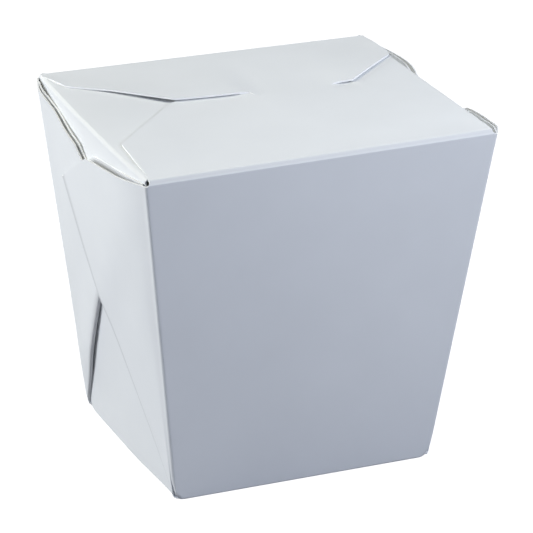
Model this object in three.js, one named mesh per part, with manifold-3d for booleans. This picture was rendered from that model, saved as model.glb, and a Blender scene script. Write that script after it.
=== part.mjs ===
// A shut noodle takeaway carton, folded from one blank of white paperboard, in millimetres, +Z up.
// The origin is the middle of the underside. The front panel faces -Y, the locking flaps lie on top.
//
// The carton is a box that widens upwards. Its front and back panels run round the upright corners into
// gusset webs. Each web lies doubled against a side panel: an outer layer runs from the corner to a slanting
// fold, and an inner layer runs back from there to the same corner. The front web lies over the back web.
// The pack is shut and can't be seen into, so what the panels enclose is solid.
import * as THREE from "three";
import { mergeVertices } from "three/addons/utils/BufferGeometryUtils.js";
import Module from "manifold-3d";

const wasm = await Module();
wasm.setup();

// Driving dimensions
const topWidth = 106.8;
const topDepth = 89.8;
const baseWidth = 80.8;
const baseDepth = 69.8;
const height = 104.4;
const board = 0.5;
const sliver = 0.01;

// Creases and corners
const cornerRadius = 1.2;
const footCornerRadius = 3.4;
const footCornerHeight = 3.2;
const footEdgeRadius = 0.7;
const foldBand = 1.2;
const seamWidth = 1.6;
const cornerHoleRadius = 0.65;
const cornerHoleInset = 1.5;
const underFlaps = 1.3;

// The dust flaps, from the side folds inwards: how far in, and how far below the top
const dustFlap = [
  [0.1, 0.75], [0.45, 0.25], [1, 0.03], [1.7, 0.08],
  [4, 0.4], [9, 0.9], [18, underFlaps],
];

// A locking flap's fold, from inside its panel up and over: how far in, and how far above the top
const flapFold = [[0.03, -4], [0.03, -foldBand], [0.22, -0.58], [0.65, -0.15], [foldBand, 0]];

// How far the panels swell, and how far the mouth is out of square at its corners
const panelBulge = 0.6;
const sideBulge = 2.4;
const sideBulgeFullHeight = 60;
const sideBulgeFadeHeight = 86;
const sideBulgeAtTop = 0.25;
const mouthTwist = 0.48;

// The folded webs: side is left or right, end is front or back. puff opens the two layers. kneeLift, reached
// kneeRun from the corner, and tipLift hold the cut top edge away from the side panel, and slotLift holds the
// slanting fold away from it.
const atLeft = -1;
const atRight = 1;
const atFront = -1;
const atBack = 1;
const webs = [
  { side: atLeft, end: atFront, puff: 1.5, kneeLift: 2.2, kneeRun: 12, tipLift: -0.6, slotLift: 0 },
  { side: atLeft, end: atBack, puff: 0.9, kneeLift: -0.4, kneeRun: 16, tipLift: 3, slotLift: 1.5 },
  { side: atRight, end: atFront, puff: 0.6, kneeLift: 8.5, kneeRun: 27, tipLift: -6, slotLift: 0 },
  { side: atRight, end: atBack, puff: 1.1, kneeLift: 4.4, kneeRun: 14, tipLift: -1.4, slotLift: 1.2 },
];
const webClearance = 0.15;
const webRoot = 0.1;
const webRootRun = 5;
const webFoldGap = 0.12;
const webStep = 1.5;
const webStepRun = 16;
const tipStart = 20;
const tipEnd = 48;
const flareStart = 74;
const flareFull = 100;
const slotFoot = 10;
const slotTop = 44;
const slotEnd = 62;

// The web's cut top edge, as distances from the foot of the corner at three angles from the corner
const webTipAngle = 22.2;
const webTipReach = 102.6;
const webFoldReach = 99.5;
const webCornerDrop = 0.9;

const rad = THREE.MathUtils.degToRad;
const deg = THREE.MathUtils.radToDeg;
const mix = THREE.MathUtils.lerp;
const smooth = THREE.MathUtils.smoothstep;

// Angles that follow from the driving dimensions
const sideLean = Math.atan((topWidth - baseWidth) / 2 / height);
const frontLean = Math.atan((topDepth - baseDepth) / 2 / height);
const sideSlant = height / Math.cos(sideLean);
const frontSlant = height / Math.cos(frontLean);
const sideEdgeAngle = deg(Math.atan((topDepth - baseDepth) / 2 / sideSlant));
const frontEdgeAngle = deg(Math.atan((topWidth - baseWidth) / 2 / frontSlant));
const webHalfAngle = (90 - sideEdgeAngle - frontEdgeAngle) / 2;
const cornerReach = Math.hypot(sideSlant, (topDepth - baseDepth) / 2) - webCornerDrop;

const halfWidth = (z) => mix(baseWidth, topWidth, z / height) / 2;
const halfDepth = (z) => mix(baseDepth, topDepth, z / height) / 2;

// The side panels lie under the webs, two boards in from the corners. At the foot all is pressed flat.
const pressed = (z) => smooth(z, 1, 12);
const recess = (z) => 2 * board * pressed(z);

// How far the front and back panels swell outwards at a place on them.
function panelSwell(x, z) {
  const across = 1 - (x / halfWidth(z)) ** 2;
  return panelBulge * Math.max(0, across) * Math.sin((Math.PI * z) / height);
}

// How far a side panel swells outwards: most at mid height, little at the foot and along the top fold.
function sideSwell(y, z) {
  const across = Math.max(0, 1 - (y / halfDepth(z)) ** 2);
  const fade = mix(1, sideBulgeAtTop, smooth(z, sideBulgeFadeHeight, height));
  return sideBulge * across * smooth(z, 0, sideBulgeFullHeight) * fade;
}

// Joins two grids of points, the two faces of a sheet, into one closed geometry with a wall round its edge.
function sheet(upper, lower) {
  const rows = upper.length;
  const columns = upper[0].length;
  const positions = [...upper, ...lower].flat().flatMap((p) => [p.x, p.y, p.z]);
  const at = (layer, i, j) => (layer * rows + i) * columns + j;
  const index = [];
  const quad = (a, b, c, d) => index.push(a, b, c, a, c, d);
  const lastColumn = columns - 1;
  const lastRow = rows - 1;
  for (let i = 0; i < lastRow; i++) {
    for (let j = 0; j < lastColumn; j++) {
      quad(at(0, i, j), at(0, i, j + 1), at(0, i + 1, j + 1), at(0, i + 1, j));
      quad(at(1, i, j), at(1, i + 1, j), at(1, i + 1, j + 1), at(1, i, j + 1));
    }
    quad(at(0, i, 0), at(0, i + 1, 0), at(1, i + 1, 0), at(1, i, 0));
    quad(at(0, i, lastColumn), at(1, i, lastColumn), at(1, i + 1, lastColumn), at(0, i + 1, lastColumn));
  }
  for (let j = 0; j < lastColumn; j++) {
    quad(at(0, 0, j), at(1, 0, j), at(1, 0, j + 1), at(0, 0, j + 1));
    quad(at(0, lastRow, j), at(0, lastRow, j + 1), at(1, lastRow, j + 1), at(1, lastRow, j));
  }
  return new THREE.BufferGeometry()
    .setAttribute("position", new THREE.Float32BufferAttribute(positions, 3))
    .setIndex(index);
}

// A closed geometry as a solid that can be joined and cut, with its faces turned outwards.
function solid(geometry) {
  const bare = geometry.clone();
  bare.deleteAttribute("normal");
  bare.deleteAttribute("uv");
  const merged = mergeVertices(bare, 1e-4);
  const vertProperties = merged.attributes.position.array;
  const triVerts = new Uint32Array(merged.index.array);
  const made = new wasm.Manifold(new wasm.Mesh({ numProp: 3, vertProperties, triVerts }));
  return made.volume() > 0 ? made : new wasm.Manifold(
    new wasm.Mesh({ numProp: 3, vertProperties, triVerts: triVerts.reverse() }),
  );
}

// The solid back as a geometry, with the mouth pushed a little out of square as a folded pack settles: the
// front is wider than the back, and two corners opposite each other are lower than the other two.
function geometryOf(made) {
  const mesh = made.getMesh();
  const points = mesh.vertProperties;
  for (let i = 0; i < points.length; i += 3) {
    const [x, y, z] = points.slice(i, i + 3);
    const twist = mouthTwist * ((x * y * z) / ((topWidth / 2) * (topDepth / 2) * height));
    points[i] -= twist;
    points[i + 2] -= twist;
  }
  return new THREE.BufferGeometry()
    .setAttribute("position", new THREE.BufferAttribute(points, 3))
    .setIndex(new THREE.BufferAttribute(mesh.triVerts, 1));
}

// One ring round the core: the four panels, the upright corners, and at each corner the narrow seam that
// the web's layers grow from. A station on a side has weight 1, one on the front or back has weight 0.
function coreRing({ z, inset, radius, seam, sideZ, frontZ }) {
  const halfPanelSteps = 3;
  const halfSideSteps = 7;
  const cornerSteps = 3;
  const seamStep = 0.3;
  const hx = halfWidth(z) - inset - recess(z);
  const hy = halfDepth(z) - inset;
  const reach = hx + seam;
  const seamEnd = hy - Math.max(seamWidth, radius + 0.1);
  const quarter = [];
  for (let i = 0; i <= halfPanelSteps; i++) {
    const x = ((reach - radius) * i) / halfPanelSteps;
    quarter.push([x, hy + (inset ? 0 : panelSwell(x, z)), 0]);
  }
  for (let i = 1; i <= cornerSteps; i++) {
    const turn = (Math.PI / 2) * (1 - i / cornerSteps);
    const x = reach - radius + radius * Math.cos(turn);
    const y = hy - radius + radius * Math.sin(turn);
    quarter.push([x, y, i / cornerSteps]);
  }
  quarter.push([reach, seamEnd, 1]);
  for (let i = 0; i <= halfSideSteps; i++) {
    const y = (seamEnd - seamStep) * (1 - i / halfSideSteps);
    quarter.push([hx + sideSwell(y, z), y, 1]);
  }
  const place = (sx, sy) => ([x, y, weight]) =>
    new THREE.Vector3(sx * x, sy * y, mix(frontZ, sideZ, weight));
  return [
    ...quarter.map(place(1, -1)),
    ...quarter.map(place(1, 1)).reverse().slice(1),
    ...quarter.map(place(-1, 1)).slice(1),
    ...quarter.map(place(-1, -1)).reverse().slice(1, -1),
  ];
}

// The core: base, panels and the two dust flaps that fold in under the locking flaps.
function core() {
  const rings = [];
  const foot = [[0, footEdgeRadius], [0.25, 0.3], [footEdgeRadius, 0]];
  const wall = [1.6, footCornerHeight, 7, 13, 23, 34, 46, 58, 70, 80, 88, 95, 100.5];
  for (const [z, inset] of [...foot, ...wall.map((z) => [z, 0]), [height - underFlaps, 0]]) {
    const radius = mix(footCornerRadius, cornerRadius, smooth(z, 0, footCornerHeight));
    rings.push(coreRing({ z, inset, radius, seam: recess(z), sideZ: z, frontZ: z }));
  }
  const hollowSlope = 0.01;
  for (const [inset, drop] of dustFlap) {
    const level = { sideZ: height - drop, frontZ: height - underFlaps - hollowSlope * inset };
    rings.push(coreRing({ z: height, inset, radius: cornerRadius, seam: 0, ...level }));
  }
  const around = rings[0].length;
  const middle = new THREE.Vector3(0, 0, height - underFlaps - hollowSlope * topDepth / 2);
  const points = [new THREE.Vector3(0, 0, 0), ...rings.flat(), middle];
  const index = [];
  const at = (ring, i) => 1 + ring * around + (i % around);
  for (let i = 0; i < around; i++) {
    index.push(0, at(0, i + 1), at(0, i));
    for (let k = 0; k + 1 < rings.length; k++) {
      index.push(at(k, i), at(k, i + 1), at(k + 1, i + 1), at(k, i), at(k + 1, i + 1), at(k + 1, i));
    }
    index.push(points.length - 1, at(rings.length - 1, i), at(rings.length - 1, i + 1));
  }
  return new THREE.BufferGeometry().setFromPoints(points).setIndex(index);
}

// A place beside a side panel, by its depth y and its distance up the slant, moved outwards by lift.
function onSide(side, y, up, lift) {
  const away = lift - recess(up);
  const x = baseWidth / 2 + up * Math.sin(sideLean) + away * Math.cos(sideLean);
  return new THREE.Vector3(side * x, y, up * Math.cos(sideLean) - away * Math.sin(sideLean));
}

// Distance from the foot of the corner to the web's cut edge, in the direction of an angle from the corner.
function webReach(angle) {
  const line = (r1, a1, r2, a2) => {
    const across = r1 * Math.sin(rad(angle - a1)) + r2 * Math.sin(rad(a2 - angle));
    return (r1 * r2 * Math.sin(rad(a2 - a1))) / across;
  };
  return angle < webTipAngle
    ? line(cornerReach, 0, webTipReach, webTipAngle)
    : line(webTipReach, webTipAngle, webFoldReach, webHalfAngle);
}

// How far the underside of a web's inner layer stands off the side panel.
function webStandOff({ end, kneeLift, kneeRun, tipLift, slotLift }, y, up) {
  const z = up * Math.cos(sideLean);
  const fromCorner = halfDepth(z) - end * y;
  const flare = kneeLift * smooth(fromCorner, 0, kneeRun) + tipLift * smooth(fromCorner, tipStart, tipEnd);
  const rooted = mix(-webRoot * pressed(z), webClearance, smooth(fromCorner, 0, webRootRun));
  const lift = rooted + flare * smooth(z, flareStart, flareFull);
  const foldAngle = rad(webHalfAngle - sideEdgeAngle);
  const pastBackFold = (y - baseDepth / 2 + up * Math.tan(foldAngle)) * Math.cos(foldAngle);
  const overBackWeb = webStep * smooth(pastBackFold, -webStepRun, 0);
  const slotHeight = smooth(up, 0, slotFoot) * (1 - smooth(up, slotTop, slotEnd));
  const openSlot = slotLift * slotHeight * (1 - smooth(pastBackFold, 0, webStepRun));
  return sideSwell(y, z) + lift + (end === atFront ? overBackWeb : openSlot);
}

// A flat closed geometry through rings of points. Point i of a ring lies opposite point n - 1 - i, and the
// first and last ring are closed by strips between them.
function flatLoft(rings) {
  const around = rings[0].length;
  const at = (ring, i) => ring * around + (i % around);
  const index = [];
  const quad = (a, b, c, d) => index.push(a, b, c, a, c, d);
  const last = rings.length - 1;
  for (let k = 0; k < last; k++) {
    for (let i = 0; i < around; i++) quad(at(k, i), at(k, i + 1), at(k + 1, i + 1), at(k + 1, i));
  }
  for (let i = 0; i + 1 < around / 2; i++) {
    const j = around - 1 - i;
    quad(at(0, i), at(0, j), at(0, j - 1), at(0, i + 1));
    quad(at(last, i), at(last, i + 1), at(last, j - 1), at(last, j));
  }
  return new THREE.BufferGeometry().setFromPoints(rings.flat()).setIndex(index);
}

// One gusset web, folded double along its slanting edge. A cross-section runs from the corner along the outer
// layer, round the fold, and back along the inner layer; it is carried from the foot of the corner up to the
// cut edge. Where the layers stand open at the top, the pocket between them is cut out.
function foldedWeb(web) {
  const foldRadius = (2 * board + webFoldGap) / 2;
  const layerShares = [0, 0.13, 0.27, 0.42, webTipAngle / webHalfAngle, 0.79];
  const foldTurns = [0, 60, 120, 180];
  const startAngle = 0.35;

  // Each station is its share of the way from the corner to the fold, and its turn round the fold in degrees
  const outer = layerShares.map((share) => [share, 0]);
  const inner = layerShares.map((share) => [share, 180]).reverse();
  const around = [...outer, ...foldTurns.map((turn) => [1, turn]), ...inner];
  const between = [...outer.slice(1), ...inner.slice(0, -1)];

  const point = (share, turn, reachShare, thickness) => {
    const flat = Math.max(startAngle, webHalfAngle * share);
    const reach = webReach(flat) * reachShare;
    const half = foldRadius * pressed(reach);
    const fromFold = share === 1 ? half * (1 - Math.sin(rad(turn))) : half;
    const angle = Math.min(flat, webHalfAngle - deg(fromFold / reach));
    const away = rad(angle - sideEdgeAngle);
    const y = web.end * (baseDepth / 2 - reach * Math.sin(away));
    const up = reach * Math.cos(away);
    const open = share === 1 ? 0 : web.puff * Math.sin(Math.PI * share ** 0.6) * reachShare ** 2;
    const middle = webStandOff(web, y, up) + half + open / 2;
    return onSide(web.side, y, up, middle + Math.cos(rad(turn)) * (half - thickness + open / 2));
  };
  const loft = (stations, reachShares, thickness) =>
    solid(flatLoft(reachShares.map((r) => stations.map(([share, turn]) => point(share, turn, r, thickness)))));
  const doubled = loft(around, [0.04, 0.09, 0.16, 0.26, 0.38, 0.52, 0.66, 0.79, 0.9, 1], 0);
  const pocket = loft(between, [0.6, 0.72, 0.84, 0.94, 1.04], board);
  return doubled.subtract(pocket);
}

// Outlines of the locking flaps seen from above, from the outer edge round to the outer edge again. Each has
// slanting sides; the front flap's two shoulders go under the back flap's wings, and between them the
// front flap lies over the back flap's tongue.
const pastFold = 20;
const flapEdge = topWidth / 2 - 2 * board;
const neckLeft = 2.3;
const neckRight = 25.4;
const frontFlapOutline = [
  [-flapEdge, -topDepth / 2 - pastFold], [-flapEdge, -42.4], [-49.9, -17.2], [-24.2, 10.5],
  [-20.5, 16.5], [-1.5, 16.5], [1.1, 11.4], [neckLeft, 8.5], [neckRight, 8.7], [28.9, 9.8],
  [29.4, 14.5], [31.4, 14.5], [33.6, 9.5], [51.6, -13], [flapEdge, -42.4],
  [flapEdge, -topDepth / 2 - pastFold],
];
const backFlapOutline = [
  [flapEdge, topDepth / 2 + pastFold], [flapEdge, 42.4], [51.9, 25.6], [33.8, 9.5], [28.9, 9.8],
  [neckRight, 8.7], [23, -2], [4.5, -2], [neckLeft, 8.5], [1.1, 11.4], [-22.4, 13],
  [-47.8, 34.1], [-flapEdge, 42.4], [-flapEdge, topDepth / 2 + pastFold],
];

// 1 across the neck where the front flap is on top, 0 under the back flap's wings.
function neck(x) {
  const run = 4;
  return smooth(x, neckLeft - run, neckLeft + run) * (1 - smooth(x, neckRight - run, neckRight + run));
}

// Height of a locking flap's upper face over the plane of the top folds.
function frontFlapRise(x, y) {
  return mix(-0.1, mix(-0.2, 0.55, neck(x)), smooth(y, -20, 9));
}
function backFlapRise(x, y) {
  const wing = mix(0.5, -0.12, neck(x)) * (1 - smooth(y, 12, 38));
  const leftLift = 0.45 * (1 - smooth(x, -46, -12)) * (1 - smooth(y, 16, 42));
  return wing + leftLift;
}

// A locking flap with the fold that joins it to its panel: a sheet that comes up out of the panel, turns over
// the fold band and runs in over the top, cut to its outline.
function lockingFlap(end, rise, outline) {
  const topSteps = 7;
  const acrossSteps = 12;
  const innerEnd = 64;
  const upper = [];
  const lower = [];
  for (let j = 0; j <= acrossSteps; j++) {
    const x = mix(-topWidth / 2, topWidth / 2, j / acrossSteps);
    const profile = flapFold.map(([inset, above]) => [halfDepth(height + above) - inset, height + above]);
    for (let i = 1; i <= topSteps; i++) {
      const y = topDepth / 2 - mix(foldBand, innerEnd, i / topSteps);
      profile.push([y, height + rise(x, end * y)]);
    }
    const last = profile.length - 1;
    const under = ([y, z], i) => {
      const before = profile[Math.max(0, i - 1)];
      const after = profile[Math.min(last, i + 1)];
      const normal = new THREE.Vector2(after[1] - before[1], before[0] - after[0]).setLength(board);
      return [y - normal.x, z - normal.y];
    };
    const place = ([y, z]) => new THREE.Vector3(x, end * y, z);
    upper.push(profile.map(place));
    lower.push(profile.map(under).map(place));
  }
  const shape = new THREE.Shape(outline.map(([x, y]) => new THREE.Vector2(x, y)));
  const cutter = new THREE.ExtrudeGeometry(shape, { depth: 2 * pastFold, bevelEnabled: false });
  cutter.translate(0, 0, height - pastFold);
  return solid(sheet(upper, lower)).intersect(solid(cutter));
}

// The small open corner that is left where two creases meet.
function cornerHole(side, end) {
  const x = side * (topWidth / 2 - cornerHoleInset);
  const y = end * (topDepth / 2 - cornerHoleInset);
  const hole = new THREE.CylinderGeometry(cornerHoleRadius, cornerHoleRadius, 6, 8);
  return solid(hole.rotateX(Math.PI / 2).translate(x, y, height));
}

function foldedCarton() {
  let carton = solid(core());
  for (const web of webs) carton = carton.add(foldedWeb(web));
  carton = carton.add(lockingFlap(atFront, frontFlapRise, frontFlapOutline));
  carton = carton.add(lockingFlap(atBack, backFlapRise, backFlapOutline));
  for (const { side, end } of webs) carton = carton.subtract(cornerHole(side, end));
  // The slivers that the joins leave are taken out. What the folded layers seal off between them is solid
  // too, so only the outer skin is kept.
  const skins = carton.simplify(sliver).decompose();
  return skins.reduce((most, skin) => (skin.volume() > most.volume() ? skin : most));
}

const paperboard = new THREE.MeshStandardMaterial({
  color: 0xe9ecf0,
  roughness: 0.62,
  metalness: 0,
  flatShading: true,
});

const carton = new THREE.Mesh(geometryOf(foldedCarton()), paperboard);
carton.name = "folded_carton";

const group = new THREE.Group();
group.add(carton);
export default group;
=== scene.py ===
"""A shut noodle takeaway carton folded from white paperboard, standing on a pale floor.

Sizes in the classes are millimetres, with Z up and the origin at the middle of the underside. They are
turned into metres where a mesh is made. The front panel faces -Y and the locking flaps lie on top.
"""

import logging
import math
from dataclasses import dataclass, field
from enum import Enum

import bpy
import numpy as np
from mathutils import Matrix, Vector

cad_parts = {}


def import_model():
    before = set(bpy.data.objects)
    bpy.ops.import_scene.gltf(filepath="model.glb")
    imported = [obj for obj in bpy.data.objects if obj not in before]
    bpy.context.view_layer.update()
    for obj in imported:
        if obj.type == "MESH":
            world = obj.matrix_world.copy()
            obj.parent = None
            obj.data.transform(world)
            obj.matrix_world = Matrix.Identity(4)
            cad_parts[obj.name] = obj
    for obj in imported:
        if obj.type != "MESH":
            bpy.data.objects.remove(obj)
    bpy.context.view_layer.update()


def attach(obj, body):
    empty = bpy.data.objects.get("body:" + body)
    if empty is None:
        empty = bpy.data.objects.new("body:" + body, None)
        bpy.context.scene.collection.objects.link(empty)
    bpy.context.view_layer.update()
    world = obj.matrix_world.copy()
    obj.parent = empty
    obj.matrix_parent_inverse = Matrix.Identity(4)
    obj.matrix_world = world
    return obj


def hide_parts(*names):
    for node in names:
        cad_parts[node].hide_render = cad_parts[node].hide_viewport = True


METRES_PER_MM = 0.001
CAD_NODE = "folded_carton"

# The two ends of a range that a value eases over, or the centre and the width of a hump.
Span = tuple[float, float]
# Pairs of place and value, or the points of an outline.
Knots = tuple[tuple[float, float], ...]
Colour = tuple[float, float, float]

log = logging.getLogger("carton")


class Side(Enum):
    """The side of the carton that a panel or a web is on, as the sign of its X."""

    LEFT = -1
    RIGHT = 1


class End(Enum):
    """The end of the carton that a sheet belongs to, as the sign of its Y."""

    FRONT = -1
    BACK = 1


class FaceKind(Enum):
    """What a face of a thickened sheet shows."""

    OUTER = 0
    CUT_EDGE = 1
    INNER = 2


def smooth(value: np.ndarray, low: float, high: float) -> np.ndarray:
    """Eases from 0 to 1 between two limits: t * t * (3 - 2 t), with t the share of the way.

    Args:
        value: The numbers to ease.
        low: Where the result leaves 0.
        high: Where the result reaches 1.

    Returns:
        An array of the same shape, from 0 to 1.
    """
    share = np.clip((np.asarray(value, float) - low) / (high - low), 0.0, 1.0)
    return share * share * (3.0 - 2.0 * share)


def mix(first: np.ndarray, second: np.ndarray, share: np.ndarray) -> np.ndarray:
    """The value a share of the way from first to second: first + (second - first) * share."""
    return first + (second - first) * share


def soft_max(first: np.ndarray, second: np.ndarray, softness: float) -> np.ndarray:
    """The larger of two values with a rounded change-over: half of (a + b + root((a - b)^2 + s^2))."""
    return 0.5 * (first + second + np.sqrt((first - second) ** 2 + softness**2))


def hump(value: np.ndarray, centre: float, width: float) -> np.ndarray:
    """A bell that is 1 at the centre: e to the minus square of the distance over the width."""
    return np.exp(-(((value - centre) / width) ** 2))


def curve_through(knots: Knots, at: np.ndarray) -> np.ndarray:
    """Reads a smooth curve through knots: a cubic between each two, with the knots' gradients as slopes.

    Args:
        knots: Pairs of place and value, with rising places.
        at: The places to read it at. Past the ends it stays level.

    Returns:
        The curve's values.
    """
    x, value = np.array(knots, float).T
    slope = np.gradient(value, x)
    at = np.clip(at, x[0], x[-1])
    k = np.clip(np.searchsorted(x, at) - 1, 0, len(x) - 2)
    span = x[k + 1] - x[k]
    t = (at - x[k]) / span
    left = 1.0 - t
    start = left**2 * ((1 + 2 * t) * value[k] + t * span * slope[k])
    return start + t**2 * ((1 + 2 * left) * value[k + 1] - left * span * slope[k + 1])


def fine_stations(keys: np.ndarray, step: float) -> np.ndarray:
    """Puts evenly spaced stations between each two key stations, no further apart than a step.

    Args:
        keys: Rising stations that are all kept.
        step: The widest spacing.

    Returns:
        The rising stations, keys among them.
    """
    spans = [
        np.linspace(a, b, max(1, math.ceil((b - a) / step)), endpoint=False)
        for a, b in zip(keys[:-1], keys[1:])
    ]
    return np.concatenate([*spans, [keys[-1]]])


@dataclass(frozen=True)
class Crease:
    """The rounded band where a panel turns over: two soft bends with a flatter band between them.

    The tangent turns by the whole angle in two halves, each eased over its own bend, and the profile is the
    running sum of the tangent along the band, taken in finer parts than the rows that it gives.
    """

    turn: float
    lean: float
    first_bend: float
    band: float
    last_bend: float
    steps: int = 28
    parts: int = 8

    def profile(self) -> tuple[np.ndarray, np.ndarray]:
        """Works out the band from its start.

        Returns:
            How far outwards, and how far up, each point of the band is from its start.
        """
        length = self.first_bend + self.band + self.last_bend
        along = np.linspace(0.0, length, self.steps * self.parts + 1)
        first = smooth(along, 0.0, self.first_bend)
        last = smooth(along, self.first_bend + self.band, length)
        angle = math.pi / 2 - self.lean + self.turn * 0.5 * (first + last)
        middle = 0.5 * (angle[1:] + angle[:-1])
        step = np.diff(along)
        outward = np.concatenate([[0.0], np.cumsum(np.cos(middle) * step)])
        upward = np.concatenate([[0.0], np.cumsum(np.sin(middle) * step)])
        return outward[::self.parts], upward[::self.parts]


@dataclass(frozen=True)
class Web:
    """How one folded web stands against its side panel.

    puff opens its two layers. edge_lift says how far the outer layer's face stands off the recessed panel at
    the cut top edge, as pairs of distance from the corner and lift. slot_lift holds a back web's slanting
    fold away from the panel.
    """

    side: Side
    puff: float
    edge_lift: Knots
    slot_lift: float = 0.0


@dataclass(frozen=True)
class DustFlap:
    """Height of a dust flap's upper face over the plane of the top folds, which the locking flaps rest on.

    knots are pairs of distance in from the fold and height. Near its two ends the flap dips by tuck, where
    it goes under the folds of the locking flaps.
    """

    knots: Knots
    tuck: float = 0.6
    tuck_depths: Span = (26.0, 41.0)
    tuck_run: float = 6.0
    slope_run: float = 0.5

    def level(self, inset: np.ndarray, y: np.ndarray) -> np.ndarray:
        """The height a distance in from the fold and a place along the depth."""
        end = smooth(np.abs(y), *self.tuck_depths)
        return curve_through(self.knots, inset) - self.tuck * end * smooth(inset, 0.0, self.tuck_run)

    def slope(self) -> float:
        """How steeply the flap sets off from the fold, upwards being positive."""
        return float(curve_through(self.knots, np.array(self.slope_run)) - self.knots[0][1]) / self.slope_run


@dataclass(frozen=True)
class Blank:
    """The board and the main sizes that all the panels share, with the shapes that follow from them.

    foot_zone is the height below which the rows of a wall are close together. end_bends are the lengths of
    the first bend, the flatter band and the last bend where an end panel turns over into its locking flap.
    """

    top_width: float = 106.8
    top_depth: float = 89.8
    base_width: float = 80.8
    base_depth: float = 69.8
    height: float = 104.4
    board: float = 0.5
    corner_radius: float = 0.9
    corner_steps: int = 8
    foot_corner_height: float = 3.2
    foot_edge_radius: float = 0.6
    foot_lip: float = 1.0
    foot_zone: float = 12.0
    foot_zone_rows: int = 16
    end_bends: tuple[float, float, float] = (0.45, 1.0, 0.75)
    panel_bulge: float = 0.6
    side_bulge: float = 2.4
    side_bulge_power: int = 3
    side_bulge_full_height: float = 60.0
    side_bulge_fade_height: float = 92.0
    left_bulge_at_top: float = 0.45
    right_bulge_at_top: float = 0.05
    front_flattening: float = 0.35
    front_flattening_run: float = 22.0
    front_flattening_fade: Span = (40.0, 80.0)
    slot_bulge: float = 0.55
    slot_bulge_width: float = 8.0
    slot_bulge_rise: Span = (8.0, 30.0)
    slot_bulge_fall: Span = (48.0, 66.0)
    foot_shift: float = 1.05
    foot_shift_power: int = 12
    foot_shift_depths: Span = (-32.0, 0.0)
    foot_shift_height: float = 50.0
    mouth_twist: float = 0.48

    @property
    def side_lean(self) -> float:
        """The angle of a side panel from upright."""
        return math.atan((self.top_width - self.base_width) / 2 / self.height)

    @property
    def front_lean(self) -> float:
        """The angle of the front panel from upright."""
        return math.atan((self.top_depth - self.base_depth) / 2 / self.height)

    @property
    def side_edge_angle(self) -> float:
        """The angle of a side panel's slanting edge, in the plane of the panel."""
        return math.atan((self.top_depth - self.base_depth) / 2 / (self.height / math.cos(self.side_lean)))

    @property
    def front_edge_angle(self) -> float:
        """The angle of the front panel's slanting edge, in the plane of the panel."""
        return math.atan((self.top_width - self.base_width) / 2 / (self.height / math.cos(self.front_lean)))

    @property
    def web_half_angle(self) -> float:
        """The angle of a folded web at the foot: half of what the four panels leave of a right angle."""
        return (math.pi / 2 - self.side_edge_angle - self.front_edge_angle) / 2

    @property
    def recess(self) -> float:
        """How far a side panel lies in from the corners: the two layers of a web."""
        return 2 * self.board

    @property
    def end_crease(self) -> Crease:
        """The band where an end panel turns over into its locking flap."""
        return Crease(math.pi / 2 + self.front_lean, self.front_lean, *self.end_bends)

    @property
    def end_top(self) -> float:
        """The height where that band starts, so that it ends at the carton's height."""
        return self.height - float(self.end_crease.profile()[1][-1])

    @property
    def flap_half_width(self) -> float:
        """Half the width of a locking flap at its fold: where the corner's rounding starts."""
        return float(self.half_width(self.end_top)) - self.corner_radius

    @property
    def quarter_turn(self) -> np.ndarray:
        """The angles of the points round a rounded corner or edge, from 0 to a right angle."""
        return np.linspace(0.0, math.pi / 2, self.corner_steps + 1)

    def half_width(self, z: np.ndarray) -> np.ndarray:
        """Half of the width at a height, widening evenly from base to top."""
        return mix(self.base_width, self.top_width, z / self.height) / 2

    def half_depth(self, z: np.ndarray) -> np.ndarray:
        """Half of the depth at a height, widening evenly from base to top."""
        return mix(self.base_depth, self.top_depth, z / self.height) / 2

    def corner_at(self, z: np.ndarray, foot_radius: float) -> np.ndarray:
        """The radius of an upright corner at a height, given its larger radius at the foot."""
        return mix(foot_radius, self.corner_radius, smooth(z, 0.0, self.foot_corner_height))

    def foot_arc(self) -> tuple[np.ndarray, np.ndarray]:
        """Heights and insets of the rows that round the edge at the foot, from the underside up."""
        turn = self.quarter_turn
        return self.foot_edge_radius * (1 - np.cos(turn)), self.foot_edge_radius * (1 - np.sin(turn))

    def wall_heights(self, start: float, top: float, rows: int) -> np.ndarray:
        """Heights of a wall's rows: close together in the foot zone, then a number of rows to the top."""
        low = np.linspace(start, self.foot_zone, self.foot_zone_rows)
        return np.concatenate([low, np.linspace(self.foot_zone, top, rows)[1:]])

    def panel_swell(self, share: np.ndarray, z: np.ndarray) -> np.ndarray:
        """How far the front or back panel swells: bulge * (1 - share^2)^2 * sin(pi z / height)."""
        return self.panel_bulge * (1 - share**2) ** 2 * np.sin(np.pi * z / self.height)

    def side_swell(self, side: Side, y: np.ndarray, z: np.ndarray) -> np.ndarray:
        """How far a side panel swells outwards: most at mid height, little at the foot and the top fold.

        Args:
            side: Left or right.
            y: The place along the depth.
            z: The height.

        Returns:
            bulge * (1 - |y / half depth|^3) * rise from the foot * fade towards the top, with the lower
            front part held a little flatter, a hump along the back web's open slot, and the foot pushed out
            towards the back.
        """
        share = np.abs(y / self.half_depth(z))
        across = np.maximum(0.0, 1 - share**self.side_bulge_power)
        flatter = smooth(-y, 0.0, self.front_flattening_run) * (1 - smooth(z, *self.front_flattening_fade))
        across = across * (1 - self.front_flattening * flatter)
        at_top = self.left_bulge_at_top if side is Side.LEFT else self.right_bulge_at_top
        fade = mix(1.0, at_top, smooth(z, self.side_bulge_fade_height, self.height))
        swell = self.side_bulge * across * smooth(z, 0.0, self.side_bulge_full_height) * fade

        past = self.past_back_fold(y, z / math.cos(self.side_lean))
        beside_slot = smooth(z, *self.slot_bulge_rise) * (1 - smooth(z, *self.slot_bulge_fall))
        slot = self.slot_bulge * hump(past, 0.0, self.slot_bulge_width) * beside_slot

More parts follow.
